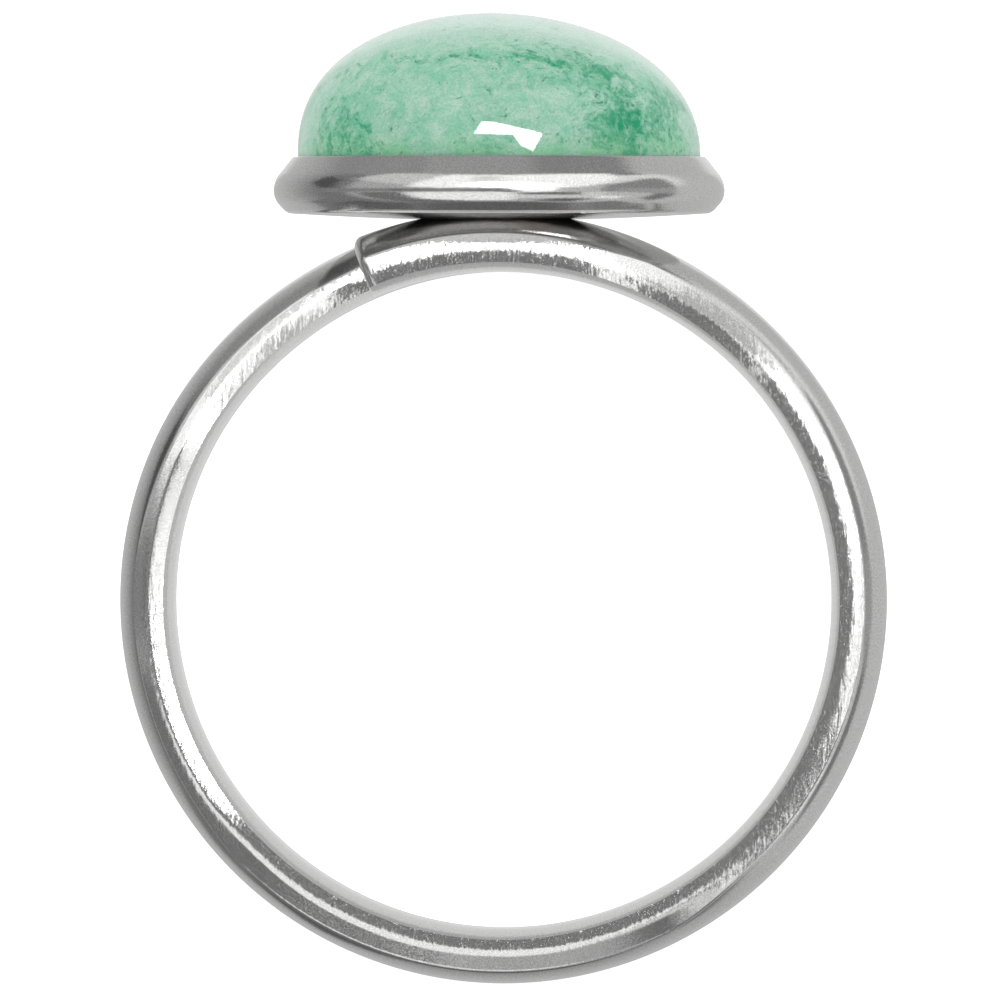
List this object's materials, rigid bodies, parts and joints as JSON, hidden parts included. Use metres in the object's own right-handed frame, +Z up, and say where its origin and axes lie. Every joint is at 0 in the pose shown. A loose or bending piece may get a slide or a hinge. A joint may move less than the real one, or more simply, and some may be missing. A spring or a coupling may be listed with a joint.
{
  "type": "aventurine ring",
  "caption": "Finger ring with a round green cabochon in a rounded cup, soldered across the side-by-side lapped ends of a domed silver band.",
  "frame": {"origin": "on the resting surface, below the middle of the ring's outline: halfway from the back of the band to the top of the stone, and on the middle of the band from side to side", "axes": "+Z up from the resting surface, +Y the way the stone points while the ring lies on its back, 12.68 degrees nose up, +X to the right across the finger"},
  "size_m": [0.019, 0.0236, 0.0109],
  "materials": {
    "silver": "polished silver with fine brushed scratches",
    "aventurine": "polished, pale mint green with darker green mottling"
  },
  "bodies": {
    "root": {"band_and_cup": "silver", "cabochon": "aventurine"}
  },
  "joints": []
}
